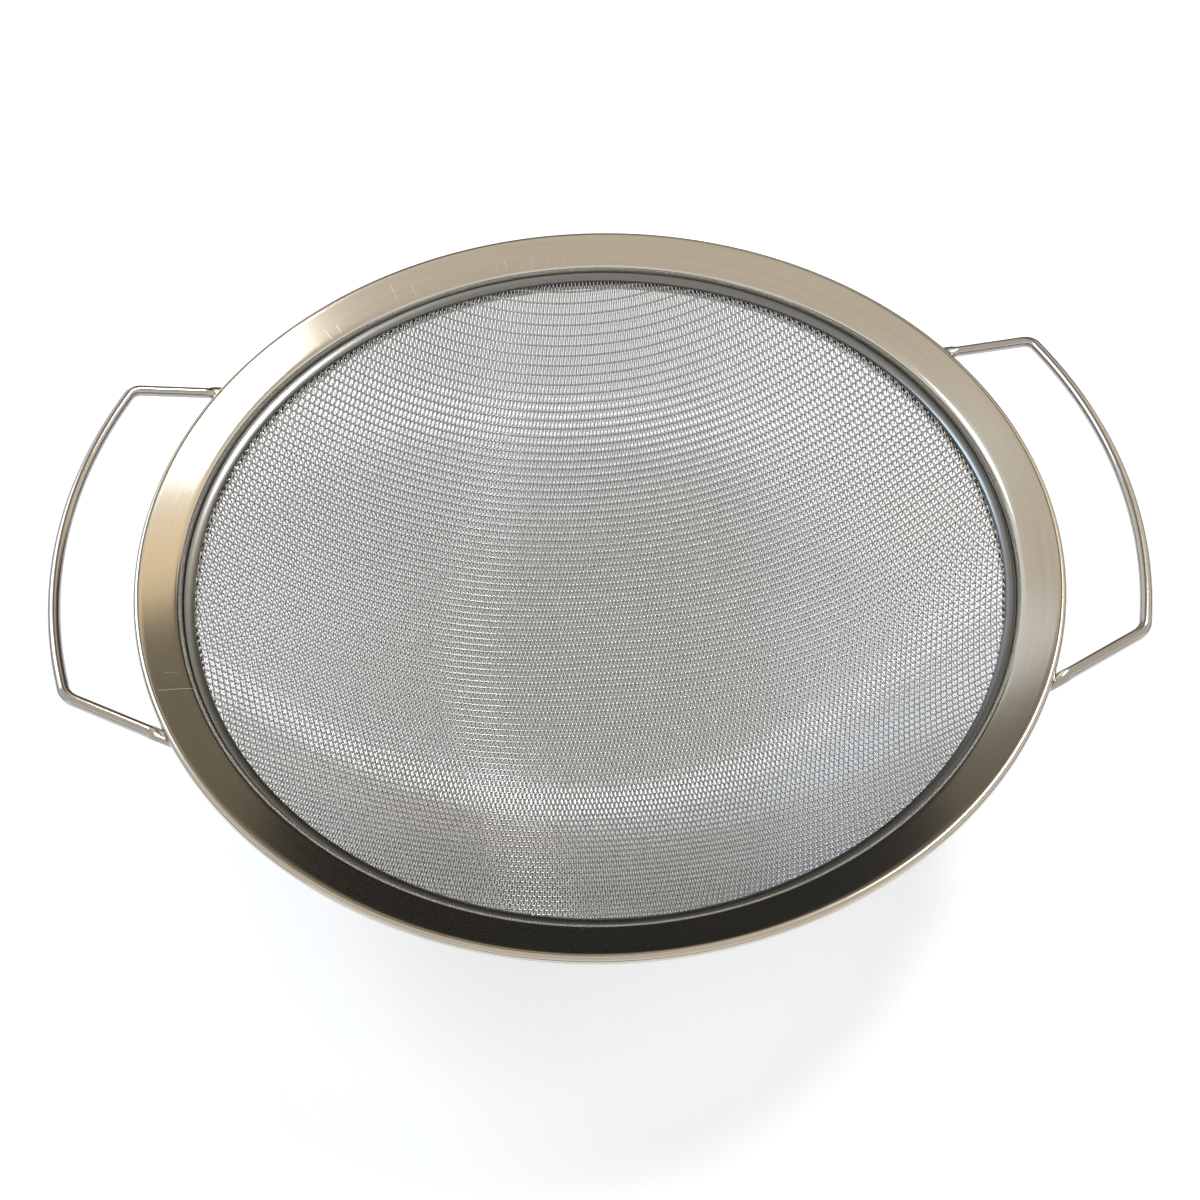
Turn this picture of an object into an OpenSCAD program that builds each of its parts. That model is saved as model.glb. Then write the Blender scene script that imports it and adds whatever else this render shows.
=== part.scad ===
// Round two-handled sieve with a wide sloping rim and a bowl of woven wire cloth.
// The origin is on the axis of the bowl, on the surface that the bowl stands on.
// +Z is up and +X runs through the two handles.

/* [Rim ring] */
// Outside diameter of the rim, over its rolled edge
rim_d = 240; // [200:1:300]
// Thickness of the rolled edge
bead_d = 2.4; // [2:0.1:4]
// Thickness of the rim's sheet steel
sheet_t = 0.8; // [0.5:0.1:1]
// Slope of the rim's face, down towards the bowl, in degrees
face_angle = 30; // [15:1:40]
// Radius of the rounded lip where the face turns down
lip_r = 2.8; // [1.5:0.1:4]
// Inside diameter of the short neck below the lip
neck_d = 218.6; // [180:0.2:219]
// Height of neck that shows between the lip and the clamp ring
neck_show = 0.5; // [0.2:0.1:3]

/* [Clamp ring] */
// Thickness of the clamp ring's strip
clamp_t = 0.8; // [0.5:0.1:1.5]
// Width of the clamp ring, across its face
clamp_w = 2.6; // [2:0.1:6]
// Slope of the clamp ring and of the seat below it, in degrees
clamp_angle = 28; // [10:1:40]
// Gap between the clamp ring's outer edge and the neck
clamp_gap = 0.15; // [0.05:0.05:0.5]

/* [Wire cloth bowl] */
// Diameter of the thick wires, which run along the handles' axis
warp_d = 0.6; // [0.3:0.05:1]
// Diameter of the fine wires, which cross over and under the thick ones
weft_d = 0.5; // [0.2:0.05:0.8]
// Depth of the bowl, from the clamp ring's inner edge to its bottom
bowl_depth = 53.5; // [25:0.5:80]
// Diameter of the flat at the bottom that the bowl stands on
foot_d = 24; // [10:1:60]
// Share of the depth that follows a parabola; the rest makes the wall steeper
bowl_share = 0.84; // [0.5:0.01:1]

/* [Handles] */
// Diameter of the handle wire
wire_d = 3; // [2:0.1:5]
// Gap between the rim's edge and the bar's inner side
grip_gap = 15; // [8:0.5:30]
// Angle that the bar spans round the rim, in degrees
bar_span = 43.6; // [25:0.2:60]
// Angle between the two arms where they pass under the rim's edge, in degrees
arm_span = 58.8; // [35:0.2:80]
// Height of the bar above the rolled edge
bar_rise = 8.2; // [2:0.1:16]
// Radius of the bends between the bar and the arms, to the wire's middle
bend_r = 4.5; // [3:0.1:8]
// Thickness of the flattened end of the wire
flat_t = 2; // [1:0.1:2.8]
// Width of the flattened end of the wire
flat_w = 4; // [3:0.1:6]
// Length of the flattened end outside the rim's edge
flat_show = 4; // [2:0.5:6]
// Length of the flattened end past the rolled edge, below the face
flat_in = 6; // [3:0.5:7]

/* [Hidden] */
$fn = 180;

bead_r = bead_d / 2;
rim_mid_r = rim_d / 2 - bead_r;
neck_r = neck_d / 2;
cloth_t = warp_d + 2 * weft_d;

// radii of the clamp ring; its width is measured along the slope
clamp_out_r = neck_r - clamp_gap;
clamp_in_r = clamp_out_r - clamp_w * cos(clamp_angle);

// heights, from the surface below the bowl upwards
cloth_edge_z = cloth_t / 2 + bowl_depth;
cloth_rise = cloth_t / cos(clamp_angle);
clamp_rise = clamp_t / cos(clamp_angle);
clamp_in_z = cloth_edge_z + cloth_rise / 2 + clamp_rise;
clamp_out_z = clamp_in_z + (clamp_out_r - clamp_in_r) * tan(clamp_angle);

// the face's upward normal and the point where the lip turns upright
face_n = [-sin(face_angle), cos(face_angle)];
face_dir = [cos(face_angle), sin(face_angle)];
lip_mid = [neck_r + lip_r, clamp_out_z + neck_show];
face_run = (rim_mid_r - lip_mid[0] + (bead_r - lip_r) * face_n[0]) / face_dir[0];
bead_z = lip_mid[1] + face_run * face_dir[1] + (lip_r - bead_r) * face_n[1];
bead_mid = [rim_mid_r, bead_z];

// points of an arc in the plane, about c, from angle a0 to a1
arc_steps = 8;
function arc(c, r, a0, a1) =
    [for (i = [0 : arc_steps]) let (a = a0 + (a1 - a0) * i / arc_steps) c + r * [cos(a), sin(a)]];

// height of the clamp ring's top face, carried on as a cone
function clamp_top(r) = clamp_in_z + (r - clamp_in_r) * tan(clamp_angle);
// height of the face's underside at a radius
function face_under(r) = bead_z + (r - rim_mid_r) * tan(face_angle) + (bead_r - sheet_t) / cos(face_angle);

// rolled edge, sloping face, lip, neck and the seat that carries the cloth's edge
module rim_ring() {
    seat_drop = clamp_rise + cloth_rise;
    seat_t = sheet_t / cos(clamp_angle);
    color("tan") union() {
        rotate_extrude() translate(bead_mid) circle(r = bead_r, $fn = 32);
        rotate_extrude() polygon(concat(
            [bead_mid + bead_r * face_n],
            arc(lip_mid, lip_r, 90 + face_angle, 180),
            [[neck_r, clamp_top(neck_r) - seat_drop],
             [clamp_in_r, clamp_top(clamp_in_r) - seat_drop],
             [clamp_in_r, clamp_top(clamp_in_r) - seat_drop - seat_t],
             [neck_r, clamp_top(neck_r) - seat_drop - seat_t],
             [neck_r + sheet_t, clamp_top(neck_r) - seat_drop - seat_t + sheet_t]],
            arc(lip_mid, lip_r - sheet_t, 180, 90 + face_angle),
            [bead_mid + (bead_r - sheet_t) * face_n]));
    }
}

// flat strip bent to a ring, welded down over the cloth's edge
module clamp_ring() {
    color("lightslategray") rotate_extrude() polygon([
        [clamp_in_r, clamp_top(clamp_in_r)],
        [clamp_out_r, clamp_top(clamp_out_r)],
        [clamp_out_r, clamp_top(clamp_out_r) - clamp_rise],
        [clamp_in_r, clamp_top(clamp_in_r) - clamp_rise]]);
}

// middle line of the cloth: a flat foot, then a wall that steepens up to the clamp ring
wall_steps = 24;
foot_r = foot_d / 2;
function wall_part(w) = bowl_share * w * w + (1 - bowl_share) * pow(w, 4);
function wall_slope(w) = bowl_depth / (clamp_in_r - foot_r) * (2 * bowl_share * w + 4 * (1 - bowl_share) * pow(w, 3));
function wall_point(w, side) =
    let (a = atan(wall_slope(w)))
    [foot_r + (clamp_in_r - foot_r) * w, cloth_t / 2 + bowl_depth * wall_part(w)]
    + side * cloth_t / 2 * [-sin(a), cos(a)];

// bowl of wire cloth, as thick as one thick wire between two fine ones
module mesh_bowl() {
    // the inner side stops short of the clamp ring, where the edge turns flatter
    inner = [for (i = [0 : wall_steps]) wall_point(i / wall_steps, 1)];
    outer = [for (i = [wall_steps : -1 : 0]) wall_point(i / wall_steps, -1)];
    edge_top = clamp_top(clamp_out_r) - clamp_rise;
    rim_in_top = clamp_top(clamp_in_r) - clamp_rise;
    color("silver") rotate_extrude() polygon(concat(
        [[0, cloth_t]],
        [for (p = inner) if (p[0] < clamp_in_r - 0.9 * cloth_t) p],
        [[clamp_in_r, rim_in_top],
         [clamp_out_r, edge_top],
         [clamp_out_r, edge_top - cloth_rise],
         [clamp_in_r, rim_in_top - cloth_rise]],
        [for (p = outer) if (p[1] < rim_in_top - cloth_rise && p[0] < clamp_in_r) p],
        [[0, 0]]));
}

// route of the handle wire's middle, from one flattened end round to the other
bar_r = rim_d / 2 + grip_gap + wire_d / 2;
bar_z = bead_z + bar_rise;
bar_steps = 24;
bend_steps = 6;
function polar(r, a, z) = [r * cos(a), r * sin(a), z];
function unit(v) = v / norm(v);
corner = polar(bar_r, bar_span / 2, bar_z);
under_bead = polar(rim_mid_r, arm_span / 2, bead_z - bead_r - flat_t / 2);
arm_dir = unit(under_bead - corner);
plan_dir = unit([arm_dir[0], arm_dir[1], 0]);
bar_dir = [sin(bar_span / 2), -cos(bar_span / 2), 0];
turn = acos(bar_dir * arm_dir);
bend_in = bend_r / tan(turn / 2);
bend_mid = corner + bend_r / sin(turn / 2) * unit(bar_dir + arm_dir);
bar_half = bar_span / 2 - asin(bend_in / bar_r);
// a point below the face, the flattened end's middle line, at a distance past the rolled edge
function below_face(s) =
    let (p = under_bead + s * plan_dir, r = norm([p[0], p[1]]))
    [p[0], p[1], face_under(r) - flat_t / 2 / cos(face_angle)];
bend_path = [for (i = [0 : bend_steps])
    let (a = (180 - turn) * i / bend_steps,
         from_bar = corner + bend_in * bar_dir - bend_mid,
         from_arm = corner + bend_in * arm_dir - bend_mid,
         side = unit(from_arm - from_bar * (from_arm * from_bar) / (bend_r * bend_r)))
    bend_mid + from_bar * cos(a) + bend_r * side * sin(a)];
foot_path = [
    under_bead - (flat_show + wire_d) * arm_dir,
    under_bead - flat_show * arm_dir,
    under_bead,
    below_face(flat_in / 2),
    below_face(flat_in)];
bar_path = [for (i = [1 : bar_steps - 1]) polar(bar_r, bar_half * (2 * i / bar_steps - 1), bar_z)];
half_path = concat(bend_path, foot_path);
function flip(p) = [p[0], -p[1], p[2]];
wire_path = concat(
    [for (i = [len(half_path) - 1 : -1 : 0]) flip(half_path[i])],
    bar_path,
    half_path);
// half width and half thickness of the wire at a point of the route, round but for its ends
flat_from = len(half_path) - 4;
function is_flat(i) = i < len(wire_path) - 1 - i ? i < 4 : len(wire_path) - 1 - i < 4;
function half_w(i) = is_flat(i) ? flat_w / 2 : wire_d / 2;
function half_t(i) = is_flat(i) ? flat_t / 2 : wire_d / 2;

// one tube of changing section along a route, each ring lying level across its width
ring_sides = 16;
module wire_along(path) {
    last = len(path) - 1;
    rings = [for (i = [0 : last])
        let (t = unit(path[min(i + 1, last)] - path[max(i - 1, 0)]),
             out = unit([path[i][0], path[i][1], 0]),
             up_face = [-out[0] * sin(face_angle), -out[1] * sin(face_angle), cos(face_angle)],
             up_raw = is_flat(i) ? up_face : [0, 0, 1],
             up = unit(up_raw - t * (up_raw * t)),
             across = cross(t, up))
        for (k = [0 : ring_sides - 1])
            let (a = 360 * k / ring_sides)
            path[i] + across * half_w(i) * cos(a) + up * half_t(i) * sin(a)];
    walls = [for (i = [0 : last - 1]) for (k = [0 : ring_sides - 1])
        let (k2 = (k + 1) % ring_sides, a = i * ring_sides, b = a + ring_sides)
        each [[a + k, b + k, b + k2], [a + k, b + k2, a + k2]]];
    polyhedron(
        points = rings,
        faces = concat(
            [[for (k = [0 : ring_sides - 1]) k]],
            walls,
            [[for (k = [ring_sides - 1 : -1 : 0]) last * ring_sides + k]]),
        convexity = 6);
}

// bent wire loop, its flattened ends welded under the rim's face
module handle_right() {
    color("gainsboro") difference() {
        wire_along(wire_path);
        rim_ring();
    }
}

module handle_left() {
    rotate([0, 0, 180]) handle_right();
}

rim_ring();
clamp_ring();
mesh_bowl();
handle_right();
handle_left();
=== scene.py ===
import math

import bmesh
import bpy
from mathutils import Matrix, Quaternion, Vector


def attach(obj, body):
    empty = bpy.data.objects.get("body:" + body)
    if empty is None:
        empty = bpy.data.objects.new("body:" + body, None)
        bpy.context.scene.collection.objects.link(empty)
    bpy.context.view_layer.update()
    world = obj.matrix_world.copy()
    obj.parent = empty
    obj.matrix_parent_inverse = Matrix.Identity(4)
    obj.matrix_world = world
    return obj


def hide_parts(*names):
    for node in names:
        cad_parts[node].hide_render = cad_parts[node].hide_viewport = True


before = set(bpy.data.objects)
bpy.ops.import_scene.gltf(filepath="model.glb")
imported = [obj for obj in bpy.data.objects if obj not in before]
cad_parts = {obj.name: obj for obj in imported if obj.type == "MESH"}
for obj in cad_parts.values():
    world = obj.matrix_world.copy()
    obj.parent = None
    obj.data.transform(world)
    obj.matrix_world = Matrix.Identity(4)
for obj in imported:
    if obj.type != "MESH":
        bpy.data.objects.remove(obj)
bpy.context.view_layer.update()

scene = bpy.context.scene
scene.view_settings.view_transform = "Standard"
MM = 0.001

# The camera looks down on the sieve from close by, a little to the left of its middle, and is
# turned and tilted by the few degrees that the photograph shows.
RIM_PLANE_Z = 63.55 * MM
CAMERA_DISTANCE = 336 * MM
CAMERA_RISE = 49.61
CAMERA_SIDE = 2.65
AIM_TILT = -3.544
AIM_ROLL = 1.33
FOCAL_PX = 1274.2
PHOTO_PX = 1200
SENSOR_WIDTH = 36.0
CLIP_START = 10 * MM


def aim_camera():
    rise, side = math.radians(CAMERA_RISE), math.radians(CAMERA_SIDE)
    place = Vector((0, -math.cos(rise), math.sin(rise))) * CAMERA_DISTANCE
    forward = -place.normalized()
    right = Vector((1, 0, 0))
    up = right.cross(forward)
    tilt = Quaternion(right, math.radians(AIM_TILT))
    forward, up = tilt @ forward, tilt @ up
    roll = Quaternion(forward, math.radians(AIM_ROLL))
    right, up = roll @ right, roll @ up
    turned = Matrix((right, up, -forward)).transposed().to_4x4()
    camera = bpy.data.objects.new("camera", bpy.data.cameras.new("camera"))
    camera.matrix_world = (Matrix.Translation((0, 0, RIM_PLANE_Z)) @ Matrix.Rotation(-side, 4, "Z")
                           @ Matrix.Translation(place) @ turned)
    camera.data.sensor_width = SENSOR_WIDTH
    camera.data.lens = FOCAL_PX / PHOTO_PX * SENSOR_WIDTH
    camera.data.clip_start = CLIP_START
    scene.collection.objects.link(camera)
    scene.camera = camera


aim_camera()

# The wire cloth is woven from stainless wire: thick straight wires run along the handles' axis,
# and fine wires cross over and under them, each against its neighbour. It is drawn to a bowl.
THICK_WIRE_D = 0.60 * MM
FINE_WIRE_D = 0.50 * MM
THICK_PITCH = 2.2 * MM
FINE_PITCH = 0.588 * MM
CLOTH_T = THICK_WIRE_D + 2 * FINE_WIRE_D
BOWL_DEPTH = 53.5 * MM
FOOT_R = 12.0 * MM
BOWL_SHARE = 0.84
CLAMP_OUT_R = 109.15 * MM
CLAMP_W = 2.6 * MM
CLAMP_SLOPE = math.radians(28)
CLAMP_IN_R = CLAMP_OUT_R - CLAMP_W * math.cos(CLAMP_SLOPE)
EDGE_TUCK = 0.4 * MM
CLOTH_EDGE_R = CLAMP_OUT_R - EDGE_TUCK
NEAR_AXIS = 0.1 * MM
# where the fine wires are parted into bands of like area, as shares of the cloth's width
BAND_ENDS = (0, 0.255, 0.42, 0.58, 0.745, 1)
RINGS_PER_CROSSING = 3
THICK_RINGS = 120
FINE_SIDES = 5
THICK_SIDES = 8
# spots of tone and of polish on the wire, per metre, and how far they go either way
SPOTS = 900
SPOT_DETAIL = 3
SPOT_REACH = (0.3, 0.7)
SPOT_TONE = (0.86, 1.06)
SPOT_POLISH = (0.8, 1.25)


def metal(name, colour, roughness, anisotropy=0.0):
    made = bpy.data.materials.new(name)
    made.use_nodes = True
    shader = made.node_tree.nodes["Principled BSDF"]
    shader.inputs["Base Color"].default_value = (*colour, 1)
    shader.inputs["Metallic"].default_value = 1.0
    shader.inputs["Roughness"].default_value = roughness
    shader.inputs["Anisotropic"].default_value = anisotropy
    return made, made.node_tree, shader


def drawn_wire(name, colour, roughness):
    # bright drawn wire whose tone and polish change a little in spots
    made, tree, shader = metal(name, colour, roughness)
    coords = tree.nodes.new("ShaderNodeTexCoord")
    spots = tree.nodes.new("ShaderNodeTexNoise")
    spots.inputs["Scale"].default_value = SPOTS
    spots.inputs["Detail"].default_value = SPOT_DETAIL
    tree.links.new(coords.outputs["Object"], spots.inputs["Vector"])
    tones = tree.nodes.new("ShaderNodeMapRange")
    tones.inputs["From Min"].default_value = SPOT_REACH[0]
    tones.inputs["From Max"].default_value = SPOT_REACH[1]
    tones.inputs["To Min"].default_value = SPOT_TONE[0]
    tones.inputs["To Max"].default_value = SPOT_TONE[1]
    tree.links.new(spots.outputs["Fac"], tones.inputs["Value"])
    tint = tree.nodes.new("ShaderNodeMix")
    tint.data_type = "RGBA"
    tint.blend_type = "MULTIPLY"
    tint.inputs["Factor"].default_value = 1.0
    tint.inputs["A"].default_value = (*colour, 1)
    tree.links.new(tones.outputs["Result"], tint.inputs["B"])
    tree.links.new(tint.outputs["Result"], shader.inputs["Base Color"])
    rough = tree.nodes.new("ShaderNodeMapRange")
    rough.inputs["To Min"].default_value = roughness * SPOT_POLISH[0]
    rough.inputs["To Max"].default_value = roughness * SPOT_POLISH[1]
    tree.links.new(spots.outputs["Fac"], rough.inputs["Value"])
    tree.links.new(rough.outputs["Result"], shader.inputs["Roughness"])
    return made


fine_steel = drawn_wire("fine_wire_steel", colour=(0.60, 0.605, 0.61), roughness=0.16)
thick_steel = drawn_wire("thick_wire_steel", colour=(0.47, 0.47, 0.46), roughness=0.20)


class Sums:
    """Math nodes of one tree, written as sums."""

    def __init__(self, tree):
        self.tree = tree

    def do(self, operation, *terms):
        node = self.tree.nodes.new("ShaderNodeMath")
        node.operation = operation
        for socket, term in zip(node.inputs, terms):
            if isinstance(term, (int, float)):
                socket.default_value = term
            else:
                self.tree.links.new(term, socket)
        return node.outputs[0]


def named_inputs(tree, sizes):
    for name, (kind, value) in sizes.items():
        socket = tree.interface.new_socket(name, in_out="INPUT", socket_type=kind)
        socket.default_value = value
    tree.interface.new_socket("Geometry", in_out="OUTPUT", socket_type="NodeSocketGeometry")
    return tree.nodes.new("NodeGroupInput").outputs


def bowl_height(sums, radius, inputs):
    # height of the cloth's middle and its slope at a radius: a flat foot, then a wall that climbs
    # with the square and the fourth power of the way out, then the straight slope of the clamp
    run = sums.do("SUBTRACT", inputs["Clamp radius"], inputs["Foot radius"])
    raw = sums.do("DIVIDE", sums.do("SUBTRACT", radius, inputs["Foot radius"]), run)
    part = sums.do("MINIMUM", sums.do("MAXIMUM", raw, 0.0), 1.0)
    square = sums.do("MULTIPLY", part, part)
    share = inputs["Bowl share"]
    rest = sums.do("SUBTRACT", 1.0, share)
    climb = sums.do("ADD", sums.do("MULTIPLY", share, square),
                    sums.do("MULTIPLY", rest, sums.do("MULTIPLY", square, square)))
    beyond = sums.do("MAXIMUM", sums.do("SUBTRACT", radius, inputs["Clamp radius"]), 0.0)
    slant = math.tan(CLAMP_SLOPE)
    height = sums.do("ADD", sums.do("MULTIPLY", inputs["Depth"], climb),
                     sums.do("MULTIPLY", beyond, slant))
    height = sums.do("ADD", height, sums.do("MULTIPLY", inputs["Cloth thickness"], 0.5))
    steep = sums.do("ADD", sums.do("MULTIPLY", sums.do("MULTIPLY", share, 2.0), part),
                    sums.do("MULTIPLY", sums.do("MULTIPLY", rest, 4.0),
                            sums.do("MULTIPLY", square, part)))
    steep = sums.do("MULTIPLY", steep, sums.do("DIVIDE", inputs["Depth"], run))
    on_wall = sums.do("LESS_THAN", raw, 1.0)
    steep = sums.do("ADD", sums.do("MULTIPLY", steep, on_wall),
                    sums.do("MULTIPLY", sums.do("SUBTRACT", 1.0, on_wall), slant))
    return height, steep


def wire_tree(name, along_y, material):
    # a row of straight wires, cut to the round, laid on the bowl and waved over what they cross
    tree = bpy.data.node_groups.new(name, "GeometryNodeTree")
    inputs = named_inputs(tree, {
        "Wire count": ("NodeSocketInt", 10),
        "First place": ("NodeSocketFloat", 0.0),
        "Pitch": ("NodeSocketFloat", THICK_PITCH),
        "Crossing pitch": ("NodeSocketFloat", FINE_PITCH),
        "Rings along": ("NodeSocketInt", 100),
        "Wire radius": ("NodeSocketFloat", THICK_WIRE_D / 2),
        "Sides": ("NodeSocketInt", 5),
        "Wave": ("NodeSocketFloat", 0.0),
        "Edge radius": ("NodeSocketFloat", CLOTH_EDGE_R),
        "Clamp radius": ("NodeSocketFloat", CLAMP_IN_R),
        "Foot radius": ("NodeSocketFloat", FOOT_R),
        "Depth": ("NodeSocketFloat", BOWL_DEPTH),
        "Bowl share": ("NodeSocketFloat", BOWL_SHARE),
        "Cloth thickness": ("NodeSocketFloat", CLOTH_T),
    })
    nodes, links, sums = tree.nodes, tree.links, Sums(tree)

    def vector(x, y, z):
        node = nodes.new("ShaderNodeCombineXYZ")
        for socket, term in zip(node.inputs, (x, y, z)):
            if isinstance(term, (int, float)):
                socket.default_value = term
            else:
                links.new(term, socket)
        return node.outputs[0]

    def cross_first(a, b):
        return vector(a, b, 0.0) if along_y else vector(b, a, 0.0)

    row = nodes.new("GeometryNodeMeshLine")
    links.new(inputs["Wire count"], row.inputs["Count"])
    links.new(cross_first(inputs["First place"], 0.0), row.inputs["Start Location"])
    links.new(cross_first(inputs["Pitch"], 0.0), row.inputs["Offset"])
    line = nodes.new("GeometryNodeCurvePrimitiveLine")
    half = sums.do("MULTIPLY", inputs["Crossing pitch"],
                   sums.do("ROUND", sums.do("DIVIDE", inputs["Edge radius"], inputs["Crossing pitch"])))
    links.new(cross_first(0.0, sums.do("MULTIPLY", half, -1.0)), line.inputs["Start"])
    links.new(cross_first(0.0, half), line.inputs["End"])
    rings = nodes.new("GeometryNodeResampleCurve")
    links.new(line.outputs[0], rings.inputs["Curve"])
    links.new(inputs["Rings along"], rings.inputs["Count"])
    place = nodes.new("GeometryNodeInstanceOnPoints")
    links.new(row.outputs[0], place.inputs["Points"])
    links.new(rings.outputs[0], place.inputs["Instance"])
    real = nodes.new("GeometryNodeRealizeInstances")
    links.new(place.outputs[0], real.inputs[0])
    position = nodes.new("GeometryNodeInputPosition")
    split = nodes.new("ShaderNodeSeparateXYZ")
    links.new(position.outputs[0], split.inputs[0])
    x, y = split.outputs[0], split.outputs[1]
    radius = sums.do("SQRT", sums.do("ADD", sums.do("MULTIPLY", x, x), sums.do("MULTIPLY", y, y)))
    cut = nodes.new("GeometryNodeDeleteGeometry")
    cut.domain = "POINT"
    links.new(real.outputs[0], cut.inputs["Geometry"])
    links.new(sums.do("GREATER_THAN", radius, inputs["Edge radius"]), cut.inputs["Selection"])
    height, steep = bowl_height(sums, radius, inputs)
    across, along = (x, y) if along_y else (y, x)
    number = sums.do("ROUND", sums.do("DIVIDE", across, inputs["Pitch"]))
    phase = sums.do("ADD", number, sums.do("DIVIDE", along, inputs["Crossing pitch"]))
    wave = sums.do("MULTIPLY", inputs["Wave"], sums.do("COSINE", sums.do("MULTIPLY", phase, math.pi)))
    lean = sums.do("DIVIDE", wave, sums.do("SQRT", sums.do("ADD", 1.0, sums.do("MULTIPLY", steep, steep))))
    inward = sums.do("DIVIDE", sums.do("MULTIPLY", sums.do("MULTIPLY", lean, steep), -1.0),
                     sums.do("MAXIMUM", radius, NEAR_AXIS))
    settle = nodes.new("GeometryNodeSetPosition")
    links.new(cut.outputs[0], settle.inputs["Geometry"])
    links.new(vector(sums.do("MULTIPLY", inward, x), sums.do("MULTIPLY", inward, y),
                     sums.do("ADD", height, lean)), settle.inputs["Offset"])
    section = nodes.new("GeometryNodeCurvePrimitiveCircle")
    links.new(inputs["Sides"], section.inputs["Resolution"])
    links.new(inputs["Wire radius"], section.inputs["Radius"])
    tube = nodes.new("GeometryNodeCurveToMesh")
    tube.inputs["Fill Caps"].default_value = True
    links.new(settle.outputs[0], tube.inputs["Curve"])
    links.new(section.outputs[0], tube.inputs["Profile Curve"])
    smooth = nodes.new("GeometryNodeSetShadeSmooth")
    links.new(tube.outputs[0], smooth.inputs["Geometry"])
    again = nodes.new("GeometryNodeRealizeInstances")
    links.new(smooth.outputs[0], again.inputs[0])
    finish = nodes.new("GeometryNodeSetMaterial")
    finish.inputs["Material"].default_value = material
    links.new(again.outputs[0], finish.inputs["Geometry"])
    links.new(finish.outputs[0], nodes.new("NodeGroupOutput").inputs["Geometry"])
    return tree


def grown(name, tree, sizes):
    # the result of a tree, as a plain mesh object at the origin
    seed = bpy.data.objects.new(name + "_seed", bpy.data.meshes.new(name + "_seed"))
    scene.collection.objects.link(seed)
    modifier = seed.modifiers.new("wires", "NODES")
    modifier.node_group = tree
    for item in tree.interface.items_tree:
        if item.in_out == "INPUT" and item.name in sizes:
            modifier[item.identifier] = sizes[item.name]
    bpy.context.view_layer.update()
    mesh = bpy.data.meshes.new_from_object(seed.evaluated_get(bpy.context.evaluated_depsgraph_get()))
    bpy.data.objects.remove(seed)
    piece = bpy.data.objects.new(name, mesh)
    mesh.name = name
    scene.collection.objects.link(piece)
    return piece


def weave():
    fine_tree = wire_tree("fine_wires", True, fine_steel)
    thick_tree = wire_tree("thick_wires", False, thick_steel)
    half_count = int(CLOTH_EDGE_R / FINE_PITCH)
    crossings = round(CLOTH_EDGE_R / THICK_PITCH) * 2
    cuts = [-half_count + round(2 * half_count * share) for share in BAND_ENDS]
    for band in range(len(cuts) - 1):
        first = cuts[band] + (1 if band else 0)
        piece = grown(f"fine_wires_{band + 1}", fine_tree, {
            "Wire count": cuts[band + 1] - first + 1,
            "First place": first * FINE_PITCH,
            "Pitch": FINE_PITCH,
            "Crossing pitch": THICK_PITCH,
            "Rings along": crossings * RINGS_PER_CROSSING + 1,
            "Wire radius": FINE_WIRE_D / 2,
            "Sides": FINE_SIDES,
            "Wave": (THICK_WIRE_D + FINE_WIRE_D) / 2,
        })
        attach(piece, "root")
        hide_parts("mesh_bowl")
    half_rows = int(CLOTH_EDGE_R / THICK_PITCH)
    rows = grown("thick_wires", thick_tree, {
        "Wire count": 2 * half_rows + 1,
        "First place": -half_rows * THICK_PITCH,
        "Pitch": THICK_PITCH,
        "Crossing pitch": FINE_PITCH,
        "Rings along": THICK_RINGS,
        "Wire radius": THICK_WIRE_D / 2,
        "Sides": THICK_SIDES,
        "Wave": 0.0,
    })
    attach(rows, "root")
    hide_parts("mesh_bowl")


weave()

# The rim is a ring stamped from steel sheet: a rolled outer edge, a face that slopes down to a
# rounded lip, a short neck, and the seat under the cloth. It is brushed round the ring.
RIM_R = 120 * MM
BEAD_R = 1.2 * MM
SHEET_T = 0.8 * MM
FACE_SLOPE = math.radians(30)
LIP_R = 2.8 * MM
NECK_R = 109.3 * MM
NECK_SHOW = 0.5 * MM
CLAMP_T = 0.8 * MM
ROLL_START = 0.9 - math.pi
FOLD_R = 0.2 * MM
RING_STEPS = 512
FACE_STEPS = 10
clamp_rise = CLAMP_T / math.cos(CLAMP_SLOPE)
cloth_rise = CLOTH_T / math.cos(CLAMP_SLOPE)
clamp_in_z = CLOTH_T / 2 + BOWL_DEPTH + cloth_rise / 2 + clamp_rise


def clamp_top(radius):
    return clamp_in_z + (radius - CLAMP_IN_R) * math.tan(CLAMP_SLOPE)


def arc(middle, radius, start, end, steps):
    # points of an arc; angles in radians
    angles = [start + (end - start) * i / steps for i in range(steps + 1)]
    return [(middle[0] + radius * math.cos(a), middle[1] + radius * math.sin(a)) for a in angles]


def lathe(name, profile, material):
    # a closed profile of (radius, height) turned once round the axis, faces outwards
    verts = []
    for step in range(RING_STEPS):
        turn = 2 * math.pi * step / RING_STEPS
        verts += [(r * math.cos(turn), r * math.sin(turn), z) for r, z in profile]
    count = len(profile)
    faces = []
    for step in range(RING_STEPS):
        here, there = step * count, (step + 1) % RING_STEPS * count
        faces += [(here + i, there + i, there + (i + 1) % count, here + (i + 1) % count)
                  for i in range(count)]
    mesh = bpy.data.meshes.new(name)
    mesh.from_pydata(verts, [], faces)
    mesh.materials.append(material)
    piece = bpy.data.objects.new(name, mesh)
    scene.collection.objects.link(piece)
    return piece


def tidy_faces(piece, crease=35):
    # outward normals, smooth but for true corners
    work = bmesh.new()
    work.from_mesh(piece.data)
    bmesh.ops.recalc_face_normals(work, faces=work.faces)
    for face in work.faces:
        face.smooth = True
    for edge in work.edges:
        if len(edge.link_faces) == 2 and edge.calc_face_angle(0) > math.radians(crease):
            edge.smooth = False
    work.to_mesh(piece.data)
    work.free()


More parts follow.
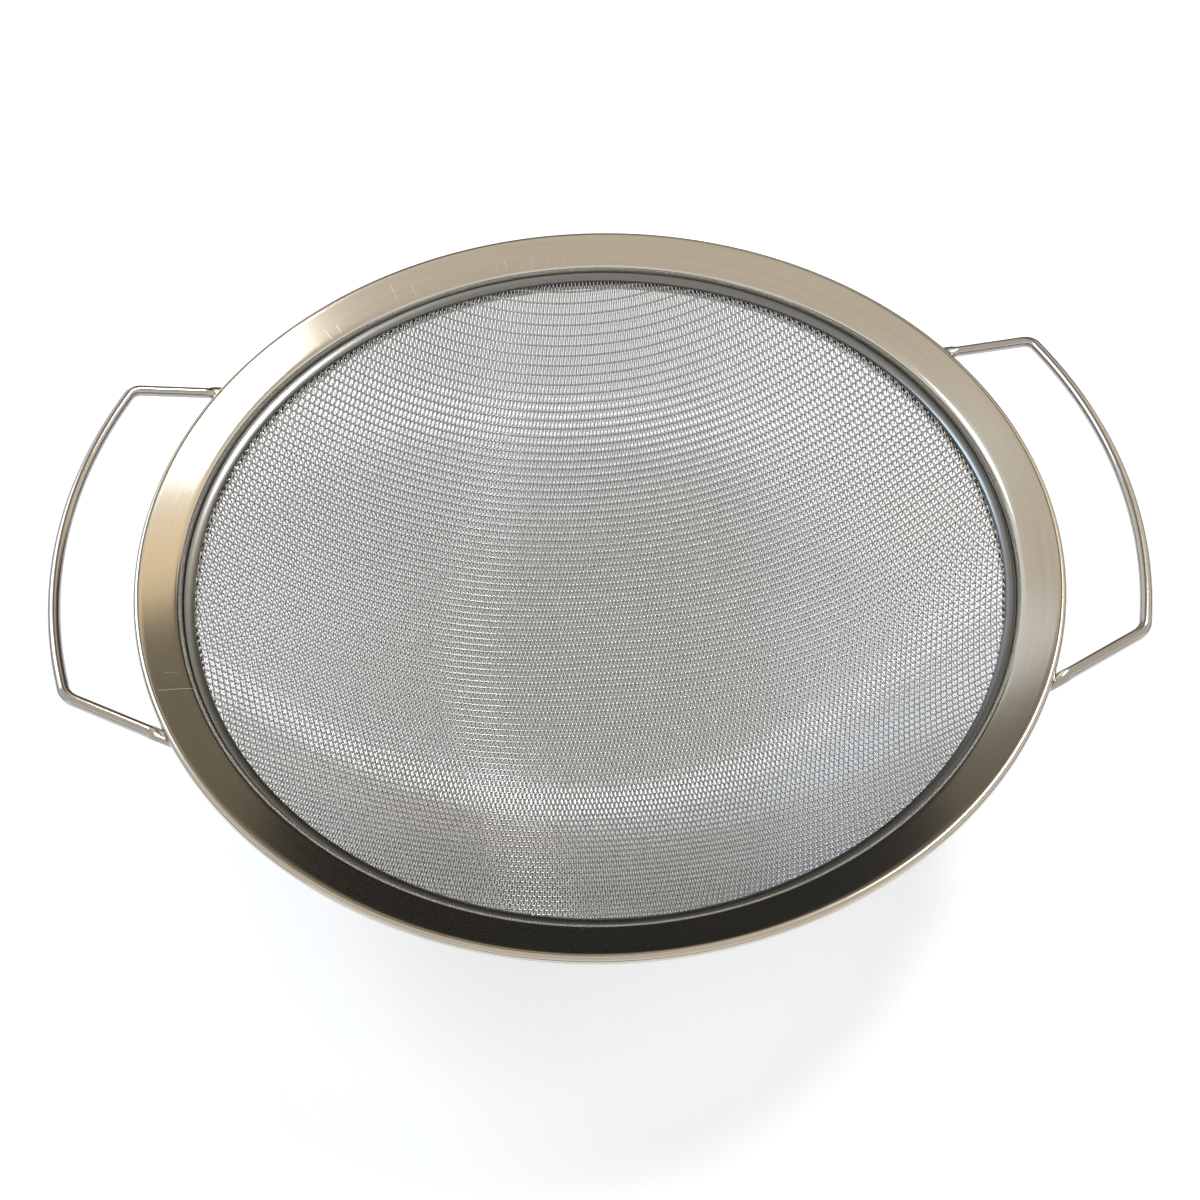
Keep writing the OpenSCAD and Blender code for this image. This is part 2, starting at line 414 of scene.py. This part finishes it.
# brushing lines per metre across the ring, how they change round it, and what they do to tone
BRUSH_LINES = 9000.0
WALL_SHARE = 0.6
BRUSH_ROUND = 3.0
BRUSH_DETAIL = 2
BRUSH_TONE = 0.10
BRUSH_POLISH = (0.75, 0.5)
BRUSH_BUMP = 0.025
BRUSH_DEPTH = 0.01 * MM
STREAK_SHARE = 0.06
STREAK_ROUND = 2.0
STREAK_DETAIL = 3
STREAK_TONE = 0.16
BARE_TONE = 0.87
SCRATCH_HALF = 0.06 * MM
SCRATCH_ROUGH = 0.8
# hairline scratches: angle in degrees, inner and outer radius in mm, strength
RIM_SCRATCHES = [
    (92, 110.5, 112.5, 0.25), (94.5, 110.5, 112, 0.25), (97, 110.5, 113, 0.3), (99, 110.5, 112, 0.25),
    (101.5, 110.5, 113.5, 0.3), (103, 110.5, 112, 0.2), (117, 111, 114, 0.2), (120, 112, 116, 0.2),
    (131, 110.5, 113, 0.25), (133, 110.5, 113.5, 0.3), (135.5, 110.5, 112.5, 0.25),
    (143, 110, 117.5, 0.4), (147, 112, 116.5, 0.35), (150, 111, 114, 0.2), (165, 110, 118, 0.12),
    (168.5, 111, 118, 0.12), (-157.3, 110, 117.5, 0.3), (-160, 112, 115, 0.15), (-35, 111, 117, 0.08)]


def brushed_ring(name, colour, roughness, anisotropy, scratches):
    # brushing that runs round the axis: noise that is long round the ring and short across it
    made, tree, shader = metal(name, colour, roughness, anisotropy)
    sums = Sums(tree)
    coords = tree.nodes.new("ShaderNodeTexCoord")
    split = tree.nodes.new("ShaderNodeSeparateXYZ")
    tree.links.new(coords.outputs["Object"], split.inputs[0])
    x, y, z = split.outputs
    radius = sums.do("SQRT", sums.do("ADD", sums.do("MULTIPLY", x, x), sums.do("MULTIPLY", y, y)))
    across = sums.do("MULTIPLY", sums.do("ADD", radius, sums.do("MULTIPLY", z, WALL_SHARE)), BRUSH_LINES)

    def ring_noise(round_scale, across_term, detail):
        place = tree.nodes.new("ShaderNodeCombineXYZ")
        tree.links.new(sums.do("MULTIPLY", sums.do("DIVIDE", x, radius), round_scale), place.inputs[0])
        tree.links.new(sums.do("MULTIPLY", sums.do("DIVIDE", y, radius), round_scale), place.inputs[1])
        tree.links.new(across_term, place.inputs[2])
        noise = tree.nodes.new("ShaderNodeTexNoise")
        noise.inputs["Scale"].default_value = 1.0
        noise.inputs["Detail"].default_value = detail
        tree.links.new(place.outputs[0], noise.inputs["Vector"])
        return noise.outputs["Fac"]

    brushing = ring_noise(BRUSH_ROUND, across, BRUSH_DETAIL)
    streaks = ring_noise(STREAK_ROUND, sums.do("MULTIPLY", across, STREAK_SHARE), STREAK_DETAIL)
    turn = sums.do("ARCTAN2", y, x)
    lines = 0.0
    for angle, low, high, strength in scratches:
        away = sums.do("ABSOLUTE", sums.do("SUBTRACT", turn, math.radians(angle)))
        line = sums.do("LESS_THAN", sums.do("MULTIPLY", away, radius), SCRATCH_HALF)
        line = sums.do("MULTIPLY", line, sums.do("GREATER_THAN", radius, low * MM))
        line = sums.do("MULTIPLY", line, sums.do("LESS_THAN", radius, high * MM))
        lines = sums.do("ADD", lines, sums.do("MULTIPLY", line, strength))
    tone = sums.do("ADD", sums.do("MULTIPLY", brushing, BRUSH_TONE),
                   sums.do("MULTIPLY", streaks, STREAK_TONE))
    tone = sums.do("ADD", sums.do("ADD", tone, BARE_TONE), lines)
    tint = tree.nodes.new("ShaderNodeMix")
    tint.data_type = "RGBA"
    tint.blend_type = "MULTIPLY"
    tint.inputs["Factor"].default_value = 1.0
    tint.inputs["A"].default_value = (*colour, 1)
    tree.links.new(tone, tint.inputs["B"])
    tree.links.new(tint.outputs["Result"], shader.inputs["Base Color"])
    rough = sums.do("ADD", roughness * BRUSH_POLISH[0],
                    sums.do("MULTIPLY", brushing, roughness * BRUSH_POLISH[1]))
    rough = sums.do("ADD", rough, sums.do("MULTIPLY", lines, SCRATCH_ROUGH))
    tree.links.new(rough, shader.inputs["Roughness"])
    bump = tree.nodes.new("ShaderNodeBump")
    bump.inputs["Strength"].default_value = BRUSH_BUMP
    bump.inputs["Distance"].default_value = BRUSH_DEPTH
    tree.links.new(brushing, bump.inputs["Height"])
    tree.links.new(bump.outputs["Normal"], shader.inputs["Normal"])
    tangent = tree.nodes.new("ShaderNodeTangent")
    tangent.direction_type = "RADIAL"
    tangent.axis = "Z"
    tree.links.new(tangent.outputs["Tangent"], shader.inputs["Tangent"])
    return made


rim_steel = brushed_ring("rim_brushed_steel", colour=(0.56, 0.525, 0.465), roughness=0.15,
                         anisotropy=0.35, scratches=RIM_SCRATCHES)


def make_rim():
    normal = (-math.sin(FACE_SLOPE), math.cos(FACE_SLOPE))
    seat_t = SHEET_T / math.cos(CLAMP_SLOPE)
    seat_drop = clamp_rise + cloth_rise
    lip = (NECK_R + LIP_R, clamp_top(CLAMP_OUT_R) + NECK_SHOW)
    bead_mid_r = RIM_R - BEAD_R
    run = (bead_mid_r - lip[0] + (BEAD_R - LIP_R) * normal[0]) / math.cos(FACE_SLOPE)
    bead = (bead_mid_r, lip[1] + run * math.sin(FACE_SLOPE) + (LIP_R - BEAD_R) * normal[1])
    upper = math.pi / 2 + FACE_SLOPE
    profile = arc(bead, BEAD_R, ROLL_START, upper, steps=20)
    lip_start = (lip[0] + LIP_R * normal[0], lip[1] + LIP_R * normal[1])
    face_start = profile[-1]
    profile += [(face_start[0] + (lip_start[0] - face_start[0]) * i / FACE_STEPS,
                 face_start[1] + (lip_start[1] - face_start[1]) * i / FACE_STEPS)
                for i in range(1, FACE_STEPS)]
    profile += arc(lip, LIP_R, upper, math.pi, steps=12)
    profile += [(NECK_R, clamp_top(NECK_R) - seat_drop),
                (CLAMP_IN_R, clamp_top(CLAMP_IN_R) - seat_drop),
                (CLAMP_IN_R, clamp_top(CLAMP_IN_R) - seat_drop - seat_t)]
    corner_z = clamp_top(NECK_R) - seat_drop - seat_t
    profile += arc((NECK_R - FOLD_R, corner_z + SHEET_T + FOLD_R), SHEET_T + FOLD_R,
                   -math.pi / 2, 0, steps=6)
    profile += arc(lip, LIP_R - SHEET_T, math.pi, upper, steps=8)
    piece = lathe("rim", profile, rim_steel)
    tidy_faces(piece)
    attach(piece, "root")
    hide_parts("rim_ring")
    return bead


bead_mid = make_rim()

# The clamp ring is a narrow strip bent to a ring and spot-welded down over the cloth's edge.
# It is satin steel, a little greyer than the rim, with softened edges.
CLAMP_EDGE = 0.2 * MM
CLAMP_SOFT = 0.3 * CLAMP_EDGE
CLAMP_SCRATCHES = [(140, 106, 109, 0.2)]

clamp_steel = brushed_ring("clamp_satin_steel", colour=(0.22, 0.23, 0.23), roughness=0.24,
                           anisotropy=0.3, scratches=CLAMP_SCRATCHES)


def make_clamp():
    inner, outer = CLAMP_IN_R, CLAMP_OUT_R
    profile = [
        (inner, clamp_top(inner) - CLAMP_EDGE),
        (inner + CLAMP_SOFT, clamp_top(inner + CLAMP_SOFT) - CLAMP_SOFT),
        (inner + CLAMP_EDGE, clamp_top(inner + CLAMP_EDGE)),
        (outer - CLAMP_EDGE, clamp_top(outer - CLAMP_EDGE)),
        (outer - CLAMP_SOFT, clamp_top(outer - CLAMP_SOFT) - CLAMP_SOFT),
        (outer, clamp_top(outer) - CLAMP_EDGE),
        (outer, clamp_top(outer) - clamp_rise),
        (inner, clamp_top(inner) - clamp_rise)]
    piece = lathe("clamp", profile, clamp_steel)
    tidy_faces(piece, crease=50)
    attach(piece, "root")
    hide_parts("clamp_ring")


make_clamp()

# Each handle is one polished wire bent to a loop: a bar that follows the rim, two tight bends and
# two arms. The wire's ends are hammered flat and welded under the rim's face.
WIRE_D = 3.0 * MM
GRIP_GAP = 15 * MM
BAR_HALF = math.radians(43.6 / 2)
ARM_HALF = math.radians(58.8 / 2)
BAR_RISE = 8.2 * MM
BEND_R = 4.5 * MM
FLAT_T = 2.0 * MM
FLAT_W = 4.0 * MM
FLAT_SHOW = 4.0 * MM
FLAT_IN = 6.0 * MM
ARM_REST = 1.5 * WIRE_D
WIRE_SIDES = 24
BAR_STEPS = 24
BEND_STEPS = 12
FLAT_STEPS = 8
WELD_STEPS = 4
# nicks in the polish, per metre, and how rough and how deep they are
NICKS = 260
NICK_DETAIL = 5
NICK_ROUGH = (0.08, 0.2)
NICK_BUMP = 0.05
NICK_DEPTH = 0.1 * MM


def polished_wire(name, colour, roughness):
    # mirror-polished wire with small nicks
    made, tree, shader = metal(name, colour, roughness)
    coords = tree.nodes.new("ShaderNodeTexCoord")
    nicks = tree.nodes.new("ShaderNodeTexNoise")
    nicks.inputs["Scale"].default_value = NICKS
    nicks.inputs["Detail"].default_value = NICK_DETAIL
    tree.links.new(coords.outputs["Object"], nicks.inputs["Vector"])
    rough = tree.nodes.new("ShaderNodeMapRange")
    rough.inputs["To Min"].default_value = NICK_ROUGH[0]
    rough.inputs["To Max"].default_value = NICK_ROUGH[1]
    tree.links.new(nicks.outputs["Fac"], rough.inputs["Value"])
    tree.links.new(rough.outputs["Result"], shader.inputs["Roughness"])
    bump = tree.nodes.new("ShaderNodeBump")
    bump.inputs["Strength"].default_value = NICK_BUMP
    bump.inputs["Distance"].default_value = NICK_DEPTH
    tree.links.new(nicks.outputs["Fac"], bump.inputs["Height"])
    tree.links.new(bump.outputs["Normal"], shader.inputs["Normal"])
    return made


handle_steel = polished_wire("handle_polished_steel", colour=(0.46, 0.44, 0.42), roughness=0.10)


def handle_route():
    # middle line of half a handle: (place, half width, half thickness, how far it lies on the face)
    bead_r, bead_z = bead_mid
    bar_r = RIM_R + GRIP_GAP + WIRE_D / 2
    bar_z = bead_z + BAR_RISE
    corner = Vector((bar_r * math.cos(BAR_HALF), bar_r * math.sin(BAR_HALF), bar_z))
    under = Vector((bead_r * math.cos(ARM_HALF), bead_r * math.sin(ARM_HALF),
                    bead_z - BEAD_R - FLAT_T / 2))
    arm = (under - corner).normalized()
    bar = Vector((math.sin(BAR_HALF), -math.cos(BAR_HALF), 0))
    turn = math.acos(bar.dot(arm))
    cut = BEND_R / math.tan(turn / 2)
    middle = corner + BEND_R / math.sin(turn / 2) * (bar + arm).normalized()
    stop = BAR_HALF - math.asin(cut / bar_r)
    half = WIRE_D / 2
    route = []
    for i in range(BAR_STEPS):
        angle = stop * i / BAR_STEPS
        place = Vector((bar_r * math.cos(angle), bar_r * math.sin(angle), bar_z))
        route.append((place, half, half, 0))
    start = corner + cut * bar - middle
    end = corner + cut * arm - middle
    side = (end - start * (end.dot(start) / BEND_R ** 2)).normalized()
    for i in range(BEND_STEPS + 1):
        angle = (math.pi - turn) * i / BEND_STEPS
        place = middle + start * math.cos(angle) + BEND_R * side * math.sin(angle)
        route.append((place, half, half, 0))
    route.append((under - (FLAT_SHOW + ARM_REST) * arm, half, half, 0))
    for i in range(FLAT_STEPS + 1):
        share = i / FLAT_STEPS
        ease = share * share * (3 - 2 * share)
        place = under - (FLAT_SHOW + (1 - share) * WIRE_D) * arm
        route.append((place, half + (FLAT_W / 2 - half) * ease, half + (FLAT_T / 2 - half) * ease, ease))
    route.append((under, FLAT_W / 2, FLAT_T / 2, 1))
    plan = Vector((arm.x, arm.y, 0)).normalized()
    for i in range(1, WELD_STEPS + 1):
        place = under + plan * FLAT_IN * i / WELD_STEPS
        radius = math.hypot(place.x, place.y)
        below = (bead_z + (radius - bead_r) * math.tan(FACE_SLOPE)
                 + (BEAD_R - SHEET_T - FLAT_T / 2) / math.cos(FACE_SLOPE))
        route.append((Vector((place.x, place.y, below)), FLAT_W / 2, FLAT_T / 2, 1))
    return route


def make_handle(name, node, turn):
    half = handle_route()
    mirrored = [(Vector((p.x, -p.y, p.z)), w, t, lay) for p, w, t, lay in half]
    route = mirrored[:0:-1] + half
    verts, faces = [], []
    last = len(route) - 1
    for i, (place, wide, thick, lay) in enumerate(route):
        tangent = (route[min(i + 1, last)][0] - route[max(i - 1, 0)][0]).normalized()
        out = Vector((place.x, place.y, 0)).normalized()
        tilted = Vector((-out.x * math.sin(FACE_SLOPE), -out.y * math.sin(FACE_SLOPE), math.cos(FACE_SLOPE)))
        up = Vector((0, 0, 1)).lerp(tilted, lay)
        up = (up - tangent * up.dot(tangent)).normalized()
        across = tangent.cross(up)
        for k in range(WIRE_SIDES):
            angle = 2 * math.pi * k / WIRE_SIDES
            verts.append(place + across * wide * math.cos(angle) + up * thick * math.sin(angle))
    for i in range(last):
        a, b = i * WIRE_SIDES, (i + 1) * WIRE_SIDES
        for k in range(WIRE_SIDES):
            faces.append((a + k, b + k, b + (k + 1) % WIRE_SIDES, a + (k + 1) % WIRE_SIDES))
    faces.append(tuple(range(WIRE_SIDES)))
    faces.append(tuple(last * WIRE_SIDES + k for k in reversed(range(WIRE_SIDES))))
    mesh = bpy.data.meshes.new(name)
    mesh.from_pydata([Matrix.Rotation(turn, 3, "Z") @ v for v in verts], [], faces)
    mesh.materials.append(handle_steel)
    piece = bpy.data.objects.new(name, mesh)
    scene.collection.objects.link(piece)
    tidy_faces(piece, crease=60)
    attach(piece, "root")
    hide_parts(node)


make_handle("wire_loop_right", "handle_right", 0.0)
make_handle("wire_loop_left", "handle_left", math.pi)

# The sieve stands on a plain pale floor in soft light from above. Cards that the camera doesn't
# see give the steel something dark to mirror low around the sieve, and something warm above it.
FLOOR_SIZE = 6.0
FLOOR_COLOUR = (0.93, 0.93, 0.93)
FLOOR_LIFT = 0.38
MATT = 0.9
AMBIENT = 0.62
WHITE = (1, 1, 1, 1)


def plain(name, colour, strength=None):
    made = bpy.data.materials.new(name)
    made.use_nodes = True
    tree = made.node_tree
    shader = tree.nodes["Principled BSDF"]
    shader.inputs["Base Color"].default_value = (*colour, 1)
    shader.inputs["Roughness"].default_value = MATT
    if strength is not None:
        shader.inputs["Emission Color"].default_value = (*colour, 1)
        shader.inputs["Emission Strength"].default_value = strength
    return made


def card(name, middle, width, height, facing, material, seen=False):
    mesh = bpy.data.meshes.new(name)
    corners = [(-width / 2, -height / 2, 0), (width / 2, -height / 2, 0),
               (width / 2, height / 2, 0), (-width / 2, height / 2, 0)]
    aim = Vector(facing).to_track_quat("Z", "Y").to_matrix()
    mesh.from_pydata([aim @ Vector(c) + Vector(middle) for c in corners], [], [(0, 1, 2, 3)])
    mesh.materials.append(material)
    piece = bpy.data.objects.new(name, mesh)
    piece.visible_camera = seen
    piece.visible_diffuse = seen
    scene.collection.objects.link(piece)


def looking_rays(tree, sums):
    # 1 for a ray that comes from the camera, off metal or through glass, 0 for one that lights
    path = tree.nodes.new("ShaderNodeLightPath")
    seen = sums.do("MAXIMUM", path.outputs["Is Camera Ray"], path.outputs["Is Glossy Ray"])
    return sums.do("MAXIMUM", seen, path.outputs["Is Transmission Ray"])


def make_floor():
    white = plain("floor_white", FLOOR_COLOUR)
    tree = white.node_tree
    sums = Sums(tree)
    shader = tree.nodes["Principled BSDF"]
    shader.inputs["Emission Color"].default_value = WHITE
    lift = sums.do("MULTIPLY", looking_rays(tree, sums), FLOOR_LIFT)
    tree.links.new(lift, shader.inputs["Emission Strength"])
    card("floor", (0, 0, 0), FLOOR_SIZE, FLOOR_SIZE, (0, 0, 1), white, seen=True)


def light(name, place, size, power, colour):
    lamp = bpy.data.lights.new(name, "AREA")
    lamp.shape = "DISK"
    lamp.size = size
    lamp.energy = power
    lamp.color = colour
    piece = bpy.data.objects.new(name, lamp)
    piece.location = place
    piece.rotation_euler = (Vector(place) * -1).to_track_quat("-Z", "Y").to_euler()
    scene.collection.objects.link(piece)


def make_world():
    world = bpy.data.worlds.new("studio")
    scene.world = world
    world.use_nodes = True
    tree = world.node_tree
    back = tree.nodes["Background"]
    level = tree.nodes.new("ShaderNodeMapRange")
    level.inputs["To Min"].default_value = AMBIENT
    level.inputs["To Max"].default_value = 1.0
    tree.links.new(looking_rays(tree, Sums(tree)), level.inputs["Value"])
    tree.links.new(level.outputs["Result"], back.inputs["Strength"])
    back.inputs["Color"].default_value = WHITE


make_floor()
make_world()
card("black_card", middle=(0.36, 1.1, 0.22), width=1.62, height=0.44, facing=(-0.1, -1, 0),
     material=plain("card_black", (0.008, 0.008, 0.008)))
card("olive_card", middle=(0.30, 1.1, 0.66), width=1.20, height=0.44, facing=(-0.1, -1, -0.3),
     material=plain("card_olive", (0.16, 0.14, 0.10), 0.5))
card("ceiling_card", middle=(0, 0, 1.7), width=4.6, height=4.6, facing=(0, 0, -1),
     material=plain("card_taupe", (0.60, 0.54, 0.46), 0.66))
card("gold_card", middle=(1.0, 1.1, 0.95), width=0.9, height=0.8, facing=(-0.6, -0.6, -0.4),
     material=plain("card_gold", (0.80, 0.64, 0.42), 0.8))
card("olive_strip", middle=(-0.12, 1.0, 1.4), width=0.42, height=1.0, facing=(0, 0, -1),
     material=plain("strip_olive", (0.14, 0.13, 0.08), 0.3))
dark_edge = plain("card_brown", (0.05, 0.045, 0.04))
card("left_low_card", middle=(-1.1, 0.1, 0.13), width=1.6, height=0.26, facing=(1, 0, 0),
     material=dark_edge)
card("right_low_card", middle=(1.1, 0.1, 0.13), width=1.6, height=0.26, facing=(-1, 0, 0),
     material=dark_edge)
card("front_low_card", middle=(0, -1.2, 0.10), width=1.8, height=0.20, facing=(0, 1, 0),
     material=dark_edge)
light("key", place=(0.45, 0.45, 1.05), size=0.30, power=4.0, colour=(1.0, 0.98, 0.95))
light("window", place=(-0.75, 0.55, 0.80), size=0.5, power=3.5, colour=(0.62, 0.80, 1.0))
